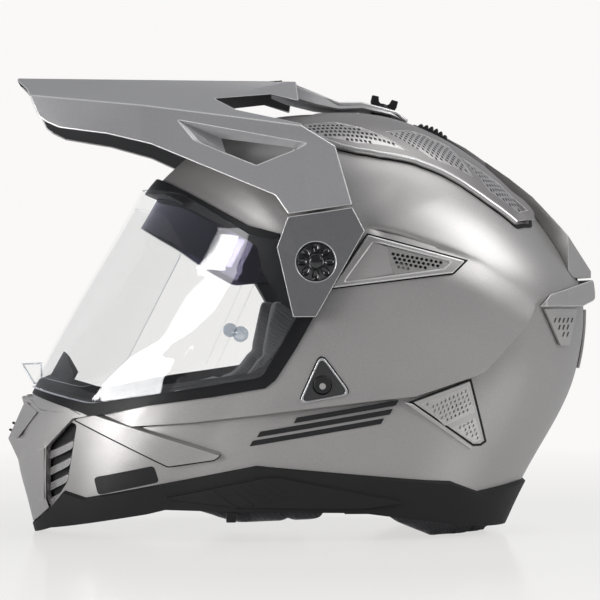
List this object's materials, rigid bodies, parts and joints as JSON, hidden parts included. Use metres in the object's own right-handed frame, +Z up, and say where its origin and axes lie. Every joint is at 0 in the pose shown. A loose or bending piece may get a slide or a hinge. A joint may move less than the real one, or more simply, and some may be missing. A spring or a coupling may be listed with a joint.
{
  "type": "dual sport helmet",
  "caption": "Full-face motorcycle helmet for road and trail: painted shell with a long sun peak, clear lifting visor, drop-down inner sun visor, vents and padded lining.",
  "frame": {"origin": "on the surface that the helmet stands on, under the middle of its length and width", "axes": "+Z up, -X to the front of the helmet (the peak), -Y to the wearer's left"},
  "size_m": [0.3911, 0.2672, 0.2997],
  "materials": {
    "painted_shell": "matte metallic lacquer",
    "painted_cover": "matte metallic lacquer",
    "painted_peak": "matte metallic lacquer",
    "black_rubber": "satin",
    "trim_rubber": "matte",
    "liner_foam": "expanded foam",
    "lining_fabric": "brushed fabric",
    "black_plastic": "moulded",
    "gloss_black": "gloss",
    "silver_mesh": "satin silver",
    "silver_slats": "satin silver",
    "clear_visor": "clear hard-coated plastic",
    "tinted_visor": "dark tint",
    "buckle_steel": "brushed",
    "webbing": "woven",
    "red_tab": "woven"
  },
  "bodies": {
    "root": {"outer_shell": "painted_shell", "eyeport_gasket": "black_rubber", "lower_trim": "trim_rubber", "impact_liner": "liner_foam", "chin_liner": "liner_foam", "crown_pad": "lining_fabric", "neck_roll": "lining_fabric", "chin_mask": "painted_cover", "chin_vent_grille": "black_plastic", "breath_guard": "black_rubber", "centre_spine": "painted_cover", "rear_spoiler": "painted_cover", "tail_grille": "silver_mesh", "peak_boss": "black_plastic", "buckle_body": "buckle_steel", "ratchet_strap": "black_plastic", "cheek_pad_left": "lining_fabric", "cheek_pad_right": "lining_fabric", "chin_blade_left": "painted_cover", "chin_blade_right": "painted_cover", "chin_louvre_left": "silver_slats", "chin_louvre_right": "silver_slats", "crown_vent_left": "painted_cover", "crown_vent_right": "painted_cover", "crown_mesh_left": "silver_mesh", "crown_mesh_right": "silver_mesh", "side_vent_left": "painted_cover", "side_vent_right": "painted_cover", "side_mesh_left": "silver_mesh", "side_mesh_right": "silver_mesh", "rear_vent_left": "painted_cover", "rear_vent_right": "painted_cover", "rear_mesh_left": "silver_mesh", "rear_mesh_right": "silver_mesh", "rear_grille_left": "silver_mesh", "rear_grille_right": "silver_mesh", "hinge_base_left": "black_plastic", "hinge_base_right": "black_plastic", "button_bezel_left": "gloss_black", "button_bezel_right": "gloss_black", "chin_strap_left": "webbing", "chin_strap_right": "webbing", "strap_rivets": "buckle_steel", "cheek_pull_tabs": "red_tab"},
    "visor": {"visor_shield": "clear_visor", "lens_pins": "clear_visor"},
    "sun_visor": {"sun_visor": "tinted_visor"},
    "peak": {"peak_shell": "painted_peak", "pod_left": "painted_peak", "pod_right": "painted_peak"},
    "dial_left": {"dial_left": "gloss_black"},
    "dial_right": {"dial_right": "gloss_black"},
    "peak_knob": {"peak_knob": "black_plastic"},
    "crown_slider_left": {"crown_slider_left": "black_plastic"},
    "crown_slider_right": {"crown_slider_right": "black_plastic"},
    "side_button_left": {"side_button_left": "gloss_black"},
    "side_button_right": {"side_button_right": "gloss_black"},
    "chin_slider": {"chin_slider": "black_plastic"},
    "sun_lever": {"sun_lever": "black_plastic"},
    "buckle_lever": {"buckle_lever": "buckle_steel"}
  },
  "joints": [
    {"name": "visor_lift", "type": "hinge", "parent": "root", "child": "visor", "pos_m": [0.00156, 0, 0.1773], "axis": [0, 1, 0], "range_deg": [0, 44]},
    {"name": "sun_visor_drop", "type": "hinge", "parent": "root", "child": "sun_visor", "pos_m": [0.00156, 0, 0.1773], "axis": [0, -1, 0], "range_deg": [0, 35]},
    {"name": "peak_tilt", "type": "hinge", "parent": "root", "child": "peak", "pos_m": [0.00156, 0, 0.1773], "axis": [0, 1, 0], "range_deg": [0, 2]},
    {"name": "dial_left_turn", "type": "hinge", "parent": "root", "child": "dial_left", "pos_m": [0.00156, 0, 0.1773], "axis": [0, -1, 0], "continuous": true},
    {"name": "dial_right_turn", "type": "hinge", "parent": "root", "child": "dial_right", "pos_m": [0.00156, 0, 0.1773], "axis": [0, 1, 0], "continuous": true},
    {"name": "peak_knob_turn", "type": "hinge", "parent": "root", "child": "peak_knob", "pos_m": [0.05396, 0, 0.28125], "axis": [0.2419, 0, 0.9703], "continuous": true},
    {"name": "crown_slider_left_run", "type": "hinge", "parent": "root", "child": "crown_slider_left", "pos_m": [0.0172, 0, 0.1125], "axis": [0, -1, 0], "range_deg": [0, 3]},
    {"name": "crown_slider_right_run", "type": "hinge", "parent": "root", "child": "crown_slider_right", "pos_m": [0.0172, 0, 0.1125], "axis": [0, -1, 0], "range_deg": [0, 3]},
    {"name": "side_button_left_press", "type": "slide", "parent": "root", "child": "side_button_left", "axis": [0, 1, 0], "range_m": [0, 0.0015], "stiffness_N_per_m": 400},
    {"name": "side_button_right_press", "type": "slide", "parent": "root", "child": "side_button_right", "axis": [0, -1, 0], "range_m": [0, 0.0015], "stiffness_N_per_m": 400},
    {"name": "chin_slider_run", "type": "slide", "parent": "root", "child": "chin_slider", "axis": [0.4067, 0, 0.9135], "range_m": [0, 0.008]},
    {"name": "sun_lever_run", "type": "slide", "parent": "root", "child": "sun_lever", "axis": [1, 0, 0], "range_m": [0, 0.02]},
    {"name": "buckle_lever_lift", "type": "hinge", "parent": "root", "child": "buckle_lever", "pos_m": [0.03441, -0.02426, 0.0217], "axis": [1, 0, 0], "range_deg": [0, 40], "stiffness_Nm_per_rad": 0.02}
  ],
  "couplings": [
    {"joint": "sun_lever_run", "follows": "sun_visor_drop", "m_per_rad": 0.032739}
  ]
}
